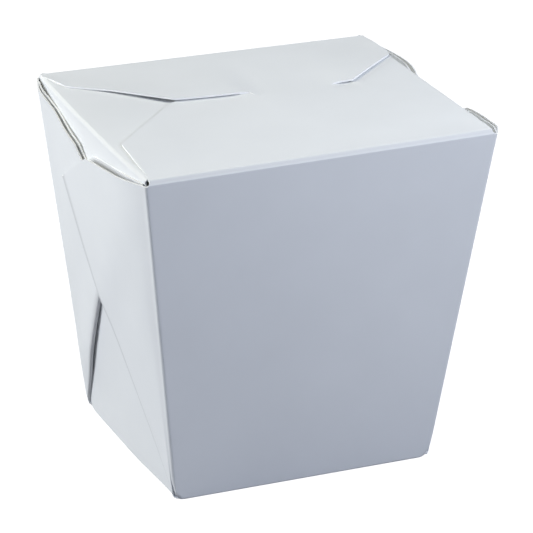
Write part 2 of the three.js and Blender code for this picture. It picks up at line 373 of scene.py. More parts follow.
        between_corners = np.maximum(0.0, 1 - share**self.foot_shift_power)
        low = 1 - smooth(z, 0.0, self.foot_shift_height)
        shift = self.foot_shift * smooth(y, *self.foot_shift_depths) * between_corners * low
        return swell + slot + shift

    def past_back_fold(self, y: np.ndarray, up: np.ndarray) -> np.ndarray:
        """How far a point of a side lies behind the back web's slanting fold, square to the fold."""
        angle = self.web_half_angle - self.side_edge_angle
        return (y - self.base_depth / 2 + up * math.tan(angle)) * math.cos(angle)

    def on_side(self, side: Side, y: np.ndarray, up: np.ndarray, lift: np.ndarray) -> np.ndarray:
        """Places points beside a side panel.

        Args:
            side: Left or right.
            y: The place along the depth.
            up: The distance up the slant of the panel.
            lift: How far the point stands off the recessed panel, along its normal.

        Returns:
            Points: x = side * (half base + up sin lean + away cos lean), z = up cos lean - away sin lean.
        """
        away = lift - self.recess
        lean = self.side_lean
        x = side.value * (self.base_width / 2 + up * math.sin(lean) + away * math.cos(lean))
        return np.stack([x, y, up * math.cos(lean) - away * math.sin(lean)], axis=-1)

    def settled(self, points: np.ndarray) -> np.ndarray:
        """Pushes the mouth a little out of square.

        Args:
            points: Points of the square carton.

        Returns:
            The points, with x and z lowered by twist * x y z over the largest product that the top has.
        """
        x, y, z = points[..., 0], points[..., 1], points[..., 2]
        drop = self.mouth_twist * x * y * z / ((self.top_width / 2) * (self.top_depth / 2) * self.height)
        return np.stack([x - drop, y, z - drop], axis=-1)


@dataclass
class Patch:
    """A grid of points that is part of a sheet, with the crease mark of each point."""

    points: np.ndarray
    crease: np.ndarray
    flipped: bool = False

    def quads(self, start: int) -> np.ndarray:
        """The grid's quads, numbered from start.

        Args:
            start: The number of the grid's first point.

        Returns:
            Rows of four point numbers, turned outwards.
        """
        rows, columns = self.points.shape[:2]
        at = start + np.arange(rows * columns).reshape(rows, columns)
        quads = np.stack([at[:-1, :-1], at[:-1, 1:], at[1:, 1:], at[1:, :-1]], axis=-1).reshape(-1, 4)
        return quads[:, ::-1] if self.flipped else quads


@dataclass
class BoardSheet:
    """A folded piece of board: grids welded where they meet, given a thickness and a cut edge all round."""

    name: str
    blank: Blank
    patches: list[Patch] = field(default_factory=list)
    weld_size: float = 0.002
    sharp_angle: float = math.radians(42.0)

    def add(self, points: np.ndarray, crease: np.ndarray, flipped: bool = False) -> None:
        """Adds a grid of points in millimetres, with the crease mark of each."""
        self.patches.append(Patch(points, np.broadcast_to(crease, points.shape[:2]), flipped))

    def welded(self) -> tuple[np.ndarray, np.ndarray, list[np.ndarray]]:
        """Joins the grids where their points meet, and drops the faces that have closed up.

        Returns:
            The points, their crease marks, and the faces as an array of quads and an array of triangles.
        """
        points = np.concatenate([p.points.reshape(-1, 3) for p in self.patches])
        crease = np.concatenate([p.crease.reshape(-1) for p in self.patches])
        starts = np.cumsum([0] + [p.crease.size for p in self.patches])
        quads = np.concatenate([p.quads(int(s)) for p, s in zip(self.patches, starts)])
        keys = np.round(points / self.weld_size).astype(np.int64)
        _, first, number = np.unique(keys, axis=0, return_index=True, return_inverse=True)
        quads = number.reshape(-1)[quads]
        closed = quads == np.roll(quads, -1, axis=1)
        whole = quads[~closed.any(axis=1) & (quads[:, 0] != quads[:, 2]) & (quads[:, 1] != quads[:, 3])]
        three = closed.sum(axis=1) == 1
        corners = np.argsort(closed[three], axis=1, kind="stable")[:, :3]
        triangles = np.take_along_axis(quads[three], np.sort(corners, axis=1), axis=1)
        return points[first], crease[first], [whole, triangles]

    def thickened(self, points: np.ndarray, faces: list[np.ndarray]) -> tuple[np.ndarray, list, np.ndarray]:
        """Gives the sheet its thickness: each point is copied inwards along its normal.

        Args:
            points: The outer face's points.
            faces: Its quads and its triangles.

        Returns:
            All points, all faces, and for each face the value of its kind.
        """
        count = len(points)
        normals = np.zeros_like(points)
        for group in faces:
            corners = points[group]
            across = corners[:, 2] - corners[:, 0]
            other = corners[:, -1] - corners[:, 1]
            face_normals = np.cross(across, other)
            for k in range(group.shape[1]):
                np.add.at(normals, group[:, k], face_normals)
        lengths = np.linalg.norm(normals, axis=1, keepdims=True)
        normals /= np.maximum(lengths, np.finfo(float).eps)
        edges = np.concatenate([
            np.stack([group[:, k], group[:, (k + 1) % group.shape[1]]], axis=1)
            for group in faces for k in range(group.shape[1])
        ])
        forward = edges[:, 0].astype(np.int64) * count + edges[:, 1]
        backward = edges[:, 1].astype(np.int64) * count + edges[:, 0]
        rim = edges[~np.isin(forward, backward)]
        wall = np.stack([rim[:, 1], rim[:, 0], rim[:, 0] + count, rim[:, 1] + count], axis=1)
        outer = [row for group in faces for row in group.tolist()]
        inner = [row for group in faces for row in (group[:, ::-1] + count).tolist()]
        everything = np.concatenate([points, points - normals * self.blank.board])
        kinds = np.repeat(
            [FaceKind.OUTER.value, FaceKind.INNER.value, FaceKind.CUT_EDGE.value],
            [len(outer), len(inner), len(wall)],
        )
        return everything, outer + inner + wall.tolist(), kinds

    @staticmethod
    def mark(mesh: bpy.types.Mesh, name: str, domain: str, values: np.ndarray) -> None:
        """Stores a number for each of a mesh's faces or points, as a named attribute."""
        attribute = mesh.attributes.new(name, "FLOAT", domain)
        attribute.data.foreach_set("value", values.astype(np.float32))

    def build(self) -> bpy.types.Object:
        """Makes the mesh, with its cut edges and inner faces marked, and a crease mark on its points.

        Returns:
            The object, at the origin, in metres.
        """
        points, crease, faces = self.welded()
        everything, rows, kinds = self.thickened(points, faces)
        placed = self.blank.settled(everything) * METRES_PER_MM
        mesh = bpy.data.meshes.new(self.name)
        mesh.from_pydata(placed.tolist(), [], rows)
        mesh.update()
        self.mark(mesh, "cut_edge", "FACE", kinds == FaceKind.CUT_EDGE.value)
        self.mark(mesh, "inner_face", "FACE", kinds == FaceKind.INNER.value)
        # crease mark: positive for rubbed pale board with a painted highlight, negative for painted shade
        self.mark(mesh, "crease", "POINT", np.concatenate([crease, crease]))
        mesh.shade_smooth()
        mesh.set_sharp_from_angle(angle=self.sharp_angle)
        made = bpy.data.objects.new(self.name, mesh)
        bpy.context.scene.collection.objects.link(made)
        return made


@dataclass(frozen=True)
class LockingFlap:
    """The outline of a locking flap and the height of its upper face over the plane of the top folds.

    outline is the cut edge from left to right. The neck is where the front flap lies on top. The shoulder is
    the front flap's height beside it, the tip is the back flap's left wing, the lens is the gap that shows
    beside the neck on the right, and the slit is the one on the left.
    """

    outline: Knots
    end: End
    neck_left: float = 0.6
    neck_right: float = 25.4
    left_run: float = 5.0
    right_run: float = 8.0
    neck_rise: float = 0.2
    neck_rise_depths: Span = (-26.0, 8.0)
    shoulder: float = -0.08
    rest_softness: float = 0.2
    step: float = 0.52
    wing_fade: Span = (12.0, 40.0)
    tip_lift: float = 0.55
    tip_fade: Span = (-44.0, -12.0)
    tip_hump: Span = (12.0, 16.0)
    lens: float = 0.9
    lens_across: Span = (29.4, 2.8)
    lens_along: Span = (9.0, 4.5)
    slit: float = 0.38
    slit_depths: Span = (-6.0, 9.0)
    slit_start: Span = (-30.0, -20.0)
    slit_end: Span = (-8.0, 2.0)

    def free_edge(self, x: np.ndarray) -> np.ndarray:
        """Where the flap's cut edge is across the top: straight lines between the outline's points."""
        return np.interp(x, *np.array(self.outline).T)

    def neck(self, x: np.ndarray) -> np.ndarray:
        """1 across the neck, where the front flap is on top, and 0 under the back flap's wings."""
        left = smooth(x, self.neck_left - self.left_run, self.neck_left + self.left_run)
        return left * (1 - smooth(x, self.neck_right - self.right_run, self.neck_right + self.right_run))

    def rise(self, x: np.ndarray, y: np.ndarray, rest: np.ndarray) -> np.ndarray:
        """Height of the upper face over the plane of the top folds.

        Args:
            x: Places across.
            y: Places along the depth.
            rest: The height that the dust flaps below hold it up to.

        Returns:
            For the front flap, its neck a little raised and its shoulders low, with a dip where the gap shows
            as a lens and another along the left slit. For the back flap, one board above the front flap on
            the wings and one board below it at the neck, its left tip lifted. Nowhere much lower than the
            rest.
        """
        neck = self.neck(x)
        low = self.shoulder + self.neck_rise * neck * smooth(y, *self.neck_rise_depths)
        front = soft_max(low, rest, self.rest_softness)
        if self.end is End.FRONT:
            beside_slit = smooth(x, *self.slit_start) * (1 - smooth(x, *self.slit_end))
            slit = self.slit * smooth(y, *self.slit_depths) * beside_slit
            return front - self.lens * hump(x, *self.lens_across) * hump(y, *self.lens_along) - slit
        wing = front + self.step * (1 - 2 * neck)
        tip = self.tip_lift * (1 - smooth(x, *self.tip_fade)) * hump(y, *self.tip_hump)
        return soft_max((wing + tip) * (1 - smooth(y, *self.wing_fade)), rest, self.rest_softness)


@dataclass
class EndSheet:
    """One end of the carton in a single sheet: panel, corners, both folded webs and the locking flap.

    Rows run up the sheet. Columns run across it: the left web's inner layer from the corner to the slanting
    fold, round the fold, back along the outer layer, round the corner, across the panel, and the same on the
    right in reverse.

    The fields that start with foot shape the corner at the foot, and those with corner_dip the open hole
    where the creases meet. web_root and web_clearance are how far a web stands off its panel at the corner
    and further in, web_step is the front web's step over the back one, and the slot is open beside the back
    web's fold between slot_rise and slot_fall. scored and band_painted_shade are painted shade, which darkens
    the colour of the slanting fold and of the band of the top fold.
    """

    blank: Blank
    end: End
    webs: tuple[Web, Web]
    flap: LockingFlap
    dust_flaps: tuple[DustFlap, DustFlap]
    foot_corner_radius: float = 3.2
    foot_pinch: float = 0.9
    foot_pinch_height: float = 8.0
    corner_dip: float = 0.2
    corner_dip_height: float = 6.0
    corner_dip_fade: Span = (0.3, 2.2)
    fold_gap: float = 0.12
    fold_roll: float = 0.3
    fold_roll_run: float = 2.0
    fold_roll_share: float = 0.1
    puff_power: float = 0.8
    web_clearance: float = 0.1
    web_root: float = -0.12
    web_root_run: float = 22.0
    web_step: float = 1.4
    web_step_run: float = 16.0
    web_step_rise: Span = (40.0, 68.0)
    slot_rise: Span = (5.0, 30.0)
    slot_fall: Span = (52.0, 70.0)
    flare_power: float = 2.5
    # painted shade along the web's slanting fold, and the share of the way over which it fades in
    painted_fold_shade: float = 0.8
    painted_fold_shade_share: float = 0.05
    web_tip_angle: float = math.radians(22.2)
    web_tip_reach: float = 102.6
    web_fold_reach: float = 99.5
    web_pressed_reach: float = 4.0
    web_foot: float = 1.0
    join_power: int = 6
    drawn_in: float = 0.7
    drawn_in_width: float = 2.0
    # painted shade across the band of the top fold
    band_painted_shade: float = 0.5
    dust_reach: float = 52.5
    dust_flaps_meet: Span = (-10.0, 10.0)
    flap_clearance: float = 0.03
    flap_run: float = 9.0
    wall_rows: int = 64
    panel_step: float = 1.3
    layer_columns: int = 36
    fold_columns: int = 9
    flap_rows: int = 60

    @property
    def web_width(self) -> float:
        """The width of a folded web at its cut edge, square to the corner."""
        return self.web_fold_reach * math.sin(self.blank.web_half_angle)

    def web_reach(self, angle: np.ndarray) -> np.ndarray:
        """Distance from the foot of the corner to the web's cut edge, which is two straight lines.

        Args:
            angle: The angle from the corner line, in the plane of the web.

        Returns:
            The reach r1 r2 sin(a2 - a1) / (r1 sin(a - a1) + r2 sin(a2 - a)) on the line that it meets.
        """
        corner = self.blank.end_top / (math.cos(self.blank.side_edge_angle) * math.cos(self.blank.side_lean))

        def line(r1: float, a1: float, r2: float, a2: float) -> np.ndarray:
            """The reach to the straight line between two points given by reach and angle."""
            return r1 * r2 * math.sin(a2 - a1) / (r1 * np.sin(angle - a1) + r2 * np.sin(a2 - angle))

        near = line(corner, 0.0, self.web_tip_reach, self.web_tip_angle)
        far = line(self.web_tip_reach, self.web_tip_angle, self.web_fold_reach, self.blank.web_half_angle)
        return np.where(angle < self.web_tip_angle, near, far)

    def opening(self, web: Web, share: np.ndarray, v: np.ndarray) -> np.ndarray:
        """How far the two layers of a web stand apart, beyond the fold's own gap.

        Args:
            web: The web.
            share: The share of the way from the corner to the slanting fold.
            v: The share of the way from the foot of the corner to the cut edge.

        Returns:
            puff * sin(pi share^0.8) * v^2, and a roll that the outer layer makes down into the fold.
        """
        to_fold = self.web_width * v * (1 - share)
        past_corner = smooth(share, 0.0, self.fold_roll_share)
        roll = self.fold_roll * (1 - np.exp(-to_fold / self.fold_roll_run)) * past_corner
        return web.puff * np.sin(np.pi * share**self.puff_power) * v**2 + roll

    def stand_off(self, web: Web, share: np.ndarray, v: np.ndarray, y: np.ndarray,
                  up: np.ndarray) -> np.ndarray:
        """How far the underside of a web's inner layer stands off the recessed side panel.

        Args:
            web: The web.
            share: The share of the way from the corner to the slanting fold.
            v: The share of the way from the foot of the corner to the cut edge.
            y: The place along the depth.
            up: The distance up the slant.

        Returns:
            Low down, the panel's swell and a small clearance, with the step over the back web or the open
            slot at the back web's slanting fold. Towards the cut edge, by a power of v, what its lift there
            asks for.
        """
        blank = self.blank
        z = up * math.cos(blank.side_lean)
        from_corner = blank.half_depth(z) - self.end.value * y
        root = mix(self.web_root, self.web_clearance, smooth(from_corner, 0.0, self.web_root_run))
        hugging = blank.side_swell(web.side, y, z) + root
        past = blank.past_back_fold(y, up)
        if self.end is End.FRONT:
            over = smooth(up, *self.web_step_rise)
            hugging = hugging + self.web_step * over * smooth(past, -self.web_step_run, 0.0)
        else:
            beside_slot = smooth(up, *self.slot_rise) * (1 - smooth(up, *self.slot_fall))
            hugging = hugging + web.slot_lift * beside_slot * (1 - smooth(past, 0.0, self.web_step_run))
        layers = 2 * blank.board + self.fold_gap + self.opening(web, share, np.ones_like(v))
        flared = curve_through(web.edge_lift, from_corner / v) - layers
        return mix(hugging, flared, v**self.flare_power)

    def web_points(self, web: Web, share: np.ndarray, turn: np.ndarray, v: np.ndarray) -> np.ndarray:
        """Points of a folded web.

        Args:
            web: The web.
            share: For each column, its share of the way from the corner to the slanting fold.
            turn: For each column, its turn round the fold: 0 on the outer layer, pi on the inner layer.
            v: For each row, its share of the way from the foot of the corner to the cut edge.

        Returns:
            The points of the grid. Each is v times the cut edge's point in the web's own plane, moved off the
            corner's rounding near the corner, and laid against the side panel with the fold's radius between
            the layers.
        """
        blank = self.blank
        angle = blank.web_half_angle * share
        reach = self.web_reach(angle)[None, :] * v[:, None]
        across = reach * np.sin(angle)
        along = reach * np.cos(angle)
        width = self.web_width * v[:, None]
        half = (2 * blank.board + self.fold_gap) / 2 * smooth(reach, 0.0, self.web_pressed_reach)
        near = np.clip(1 - across / width, 0.0, 1.0)
        across = across * (1 - half / width) + blank.corner_radius * near**2 + half * np.sin(turn)
        edge = blank.side_edge_angle
        y = self.end.value * (blank.base_depth / 2 - (across * math.cos(edge) - along * math.sin(edge)))
        up = along * math.cos(edge) + across * math.sin(edge)
        opened = self.opening(web, share[None, :], v[:, None])
        middle = self.stand_off(web, share[None, :], v[:, None], y, up) + half + opened / 2
        return blank.on_side(web.side, y, up, middle + np.cos(turn) * (half + opened / 2))

    def web_strip(self, web: Web, corner: np.ndarray, foot_rows: int,
                  wall_z: np.ndarray) -> tuple[np.ndarray, np.ndarray, np.ndarray]:
        """The columns of a web, from the corner out to the fold and back along the inner layer.

        Args:
            web: The web.
            corner: The column where the corner's rounding ends.
            foot_rows: The number of rows below the web, where it closes up on the corner.
            wall_z: The heights of the rows above.

        Returns:
            The grid of the web's points, and for each column its share of the way to the fold and its turn
            round the fold.
        """
        keys = np.array([0.0, self.web_tip_angle / self.blank.web_half_angle, 1.0])
        layer = fine_stations(keys, 1 / self.layer_columns)
        fold = np.linspace(0.0, math.pi, self.fold_columns + 2)[1:-1]
        share = np.concatenate([layer[1:], np.ones(len(fold)), layer[::-1][:-1]])
        turn = np.concatenate([np.zeros(len(layer) - 1), fold, np.full(len(layer) - 1, math.pi)])
        v = wall_z / self.blank.end_top
        points = self.web_points(web, share, turn, v)
        start = self.web_points(web, np.zeros(1), np.zeros(1), v)[:, 0]
        miss = (corner[foot_rows:] - start)[:, None, :]
        joined = np.where(turn < math.pi / 2, (1 - share) ** self.join_power, 0.0)
        points = points + miss * joined[None, :, None]
        closed = np.broadcast_to(corner[:foot_rows, None, :], (foot_rows, len(share), 3))
        return np.concatenate([closed, points], axis=0), share, turn

    def foot_rows(self) -> tuple[np.ndarray, np.ndarray]:
        """Heights and insets of the rows that turn under the foot and up to where the webs start.

        Returns:
            The heights, and how far in from the wall each row is.
        """
        radius = self.blank.foot_edge_radius
        arc_z, arc_inset = self.blank.foot_arc()
        above = np.linspace(radius, self.web_foot, 3)[1:-1]
        z = np.concatenate([[0.0], arc_z, above])
        inset = np.concatenate([[radius + self.blank.foot_lip], arc_inset, np.zeros(len(above))])
        return z, inset

    def corner_columns(self, z: np.ndarray, half_width: np.ndarray, half_depth: np.ndarray) -> np.ndarray:
        """The rounded upright corner on the right, pinched in a little at the foot.

        Args:
            z: The height of each row, as a column.
            half_width: Half the carton's width at each row.
            half_depth: Half its depth there.

        Returns:
            Points: x = half width - r + r sin turn - pinch, y = half depth - r + r cos turn, from the panel's
            edge to where the web starts.
        """
        turn = self.blank.quarter_turn[1:]
        radius = self.blank.corner_at(z, self.foot_corner_radius)
        pinch = self.foot_pinch * (1 - smooth(z, 0.0, self.foot_pinch_height))
        x = half_width - radius + radius * np.sin(turn) - pinch * smooth(turn, 0.0, math.pi / 2)
        y = self.end.value * (half_depth - radius + radius * np.cos(turn))
        return np.stack([x, y, np.broadcast_to(z, x.shape)], axis=-1)

    def side_strip(self, web: Web, right_corner: np.ndarray, z: np.ndarray,
                   wall_z: np.ndarray) -> tuple[np.ndarray, np.ndarray]:
        """The columns round a corner and over its web, dipped at the top where the creases meet.

        Args:
            web: The web.
            right_corner: The columns of the rounded corner on the right.
            z: The height of each row, as a column.
            wall_z: The heights of the rows that the web has.

        Returns:
            The points, and the crease mark of each column.
        """
        corner = right_corner * (web.side.value, 1.0, 1.0)
        folded, share, around = self.web_strip(web, corner[:, -1], len(z) - len(wall_z), wall_z)
        # painted shade on the columns next to the slanting fold, as a negative crease mark
        painted_fold_shade = self.painted_fold_shade * smooth(share, 1 - self.painted_fold_shade_share, 1.0) * (around < math.pi)
        mark = np.concatenate([np.zeros(corner.shape[1]), -painted_fold_shade])
        strip = np.concatenate([corner, folded], axis=1)
        near_corner = np.concatenate([
            smooth(self.blank.quarter_turn[1:], 0.0, math.pi / 2),
            1 - smooth(share * self.web_width, *self.corner_dip_fade),
        ])
        near_top = smooth(z, self.blank.end_top - self.corner_dip_height, self.blank.end_top)
        strip[..., 2] -= self.corner_dip * near_top * near_corner
        return strip, mark

    def wall(self) -> tuple[np.ndarray, np.ndarray, int]:
        """The grid from the foot to the top fold.

        Returns:
            The points, the crease mark of each column, and the number of columns that the panel has.
        """
        blank = self.blank
        foot_z, foot_inset = self.foot_rows()
        wall_z = blank.wall_heights(self.web_foot, blank.end_top, self.wall_rows)
        z = np.concatenate([foot_z, wall_z])[:, None]
        inset = np.concatenate([foot_inset, np.zeros(len(wall_z))])[:, None]
        half_width = blank.half_width(z) - inset
        half_depth = blank.half_depth(z) - inset

        flat_width = half_width - blank.corner_at(z, self.foot_corner_radius)
        share = fine_stations(np.array(self.flap.outline)[:, 0], self.panel_step) / blank.flap_half_width
        panel_y = half_depth + blank.panel_swell(share, z)
        heights = np.broadcast_to(z, panel_y.shape)
        panel = np.stack([share * flat_width, self.end.value * panel_y, heights], axis=-1)

        corner = self.corner_columns(z, half_width, half_depth)
        strips = {web.side: self.side_strip(web, corner, z, wall_z) for web in self.webs}
        left, left_mark = strips[Side.LEFT]
        right, right_mark = strips[Side.RIGHT]
        grid = np.concatenate([left[:, ::-1], panel, right], axis=1)
        mark = np.concatenate([left_mark[::-1], np.zeros(len(share)), right_mark])
        return grid, mark, len(share)

    def flap_grid(self, first: np.ndarray) -> tuple[np.ndarray, np.ndarray]:
        """The grid of the fold band and the flap, from the panel's top row to the cut edge.

        Args:
            first: The panel's top row.

        Returns:
            The points, and the crease mark of each row.
        """
        edge = self.blank.flap_half_width
        outward, upward = self.blank.end_crease.profile()
        x = first[:, 0]
        inwards = np.sign(x) * self.drawn_in * smooth(np.abs(x), edge - self.drawn_in_width, edge)
        band_y = first[None, :, 1] + self.end.value * outward[:, None]
        band_x = x - inwards * smooth(np.arange(len(outward)), 0.0, len(outward) / 2)[:, None]
        band = np.stack([band_x, band_y, first[None, :, 2] + upward[:, None]], axis=-1)

        start = band_y[-1]
        t = np.linspace(0.0, 1.0, self.flap_rows)[1:, None]
        y = mix(start, self.flap.free_edge(x), t)
        across = np.broadcast_to(band_x[-1], y.shape)
        inset = np.maximum(0.0, self.dust_reach - np.abs(across))
        left, right = (flap.level(inset, y) for flap in self.dust_flaps)
        below = mix(left, right, smooth(across, *self.dust_flaps_meet))
        rest = self.blank.board + self.flap_clearance + below
        rise = self.flap.rise(across, y, rest) * smooth(np.abs(y - start), 0.0, self.flap_run)
        over = np.stack([across, y, self.blank.height + rise], axis=-1)
        # painted shade across the fold band, as a negative crease mark
        painted_shade = self.band_painted_shade * np.sin(np.linspace(0.0, math.pi, len(outward)))
        mark = np.concatenate([-painted_shade, np.zeros(len(t))])
        return np.concatenate([band, over], axis=0), mark[:, None]

    def build(self) -> bpy.types.Object:
        """Builds the sheet and names it for its end.

        Returns:
            The object.
        """
        sheet = BoardSheet(f"{self.end.name.lower()}_sheet", self.blank)
        flipped = self.end is End.BACK
        wall, columns, panel_columns = self.wall()
        sheet.add(wall, columns[None, :], flipped)
        start = (wall.shape[1] - panel_columns) // 2
        flap, mark = self.flap_grid(wall[-1, start:start + panel_columns])
        sheet.add(flap, mark, flipped)
        return sheet.build()


@dataclass
class SidePanel:
    """A side panel and its dust flap in one sheet, from under the foot up the wall and in over the top.

    The gaps are how far its edges stay clear of the corners, and the notches open the holes where the
    creases meet. bends are the lengths of the first bend, the flatter band and the last bend of its fold.
    """

    blank: Blank
    side: Side
    dust_flap: DustFlap
    foot_gap: float = 1.0
    gap: float = 0.58
    clearance: float = 0.02
    front_notch: float = 1.6
    back_notch: float = 0.0
    notch_height: float = 2.5
    bends: tuple[float, float, float] = (0.8, 0.2, 0.8)
    flap_length: float = 38.0
    flap_taper: float = 0.7
    wall_rows: int = 56
    columns: int = 61
    flap_rows: int = 40
    flap_row_power: float = 1.5

    def wall(self, top: float) -> np.ndarray:
        """The grid of the panel: each row is a line across the depth, swollen outwards in its middle.

        Args:
            top: The height where the fold starts.

        Returns:
            The points, with the columns closer together towards the panel's edges.
        """
        blank = self.blank
        arc_z, arc_inset = blank.foot_arc()
        wall_z = blank.wall_heights(blank.foot_edge_radius, top, self.wall_rows)[1:]
        z = np.concatenate([arc_z, wall_z])[:, None]
        inset = np.concatenate([arc_inset, np.zeros(len(wall_z))])[:, None]
        gap = mix(self.foot_gap, self.gap, smooth(z, 0.0, blank.foot_corner_height))
        share = np.sin(np.linspace(-math.pi / 2, math.pi / 2, self.columns))
        notch = np.where(share < 0, self.front_notch, self.back_notch)
        notched = notch * smooth(z, top - self.notch_height, top)
        y = (blank.half_depth(z) - inset - gap - notched) * share
        x = blank.half_width(z) - inset - blank.recess - self.clearance + blank.side_swell(self.side, y, z)
        return np.stack([self.side.value * x, y, np.broadcast_to(z, y.shape)], axis=-1)

    def over(self, last: np.ndarray, outward: np.ndarray, upward: np.ndarray) -> np.ndarray:
        """The grid of the fold band and the dust flap, which narrows away from its fold.

        Args:
            last: The panel's top row.
            outward: How far outwards each row of the band is from its start.
            upward: How far up each row of the band is.

        Returns:
            The points, without the row that the panel ends with.
        """
        band_x = last[:, 0] + self.side.value * outward[1:, None]
        band_z = last[:, 2] + upward[1:, None]
        inward = np.linspace(0.0, 1.0, self.flap_rows)[1:] ** self.flap_row_power * self.flap_length
        flap_x = band_x[-1] - self.side.value * inward[:, None]
        top = self.blank.height - float(upward.max())
        narrower = np.concatenate([np.zeros(len(outward) - 1), self.flap_taper * inward])
        y = last[:, 1] * (1 - narrower / (self.blank.half_depth(top) - self.gap))[:, None]
        flap_z = band_z[-1] + self.dust_flap.level(inward[:, None], y[-len(inward):])
        return np.stack([np.concatenate([band_x, flap_x]), y, np.concatenate([band_z, flap_z])], axis=-1)

    def build(self) -> bpy.types.Object:
        """Builds the sheet and names it for its side.

        Returns:
            The object.
        """
        lean = self.blank.side_lean
        crease = Crease(math.pi / 2 + lean - self.dust_flap.slope(), lean, *self.bends)
        outward, upward = crease.profile()
        wall = self.wall(self.blank.height - float(upward.max()))
        over = self.over(wall[-1], outward, upward)
        # rubbed pale board and a painted highlight along the fold ridge, as a positive crease mark
        rub_and_highlight_mark = np.sin(np.linspace(0.0, math.pi, len(outward)))[1:]
        mark = np.concatenate([np.zeros(len(wall)), rub_and_highlight_mark, np.zeros(len(over) - len(rub_and_highlight_mark))])
        sheet = BoardSheet(f"{self.side.name.lower()}_side_panel", self.blank)
        sheet.add(np.concatenate([wall, over], axis=0), mark[:, None], self.side is Side.LEFT)
        return sheet.build()


@dataclass
class Base:
    """The base panel between the folds at the foot."""

    blank: Blank
    inset: float = 1.62
    radius: float = 2.4
    dome: float = 0.25
    rings: int = 30
    columns: int = 96

    def build(self) -> bpy.types.Object:
        """Builds the panel: rings of a rounded rectangle drawn in to its middle, a little domed.

        Returns:
            The object.
        """
        blank = self.blank
        radius = self.radius
        half_width = blank.base_width / 2 - self.inset
        half_depth = blank.base_depth / 2 - self.inset
        turn = np.linspace(0.0, 2 * math.pi, self.columns + 1)
        rim_x = np.sign(np.round(np.cos(turn), 6)) * (half_width - radius) + radius * np.cos(turn)
        rim_y = np.sign(np.round(np.sin(turn), 6)) * (half_depth - radius) + radius * np.sin(turn)
        scale = np.linspace(0.0, 1.0, self.rings)[:, None]
        x = rim_x[None, :] * scale
        y = rim_y[None, :] * scale
        z = self.dome * (1 - scale**2) * np.ones_like(x)
        sheet = BoardSheet("base_panel", blank)
        sheet.add(np.stack([x, y, z], axis=-1), np.zeros(x.shape))
        return sheet.build()


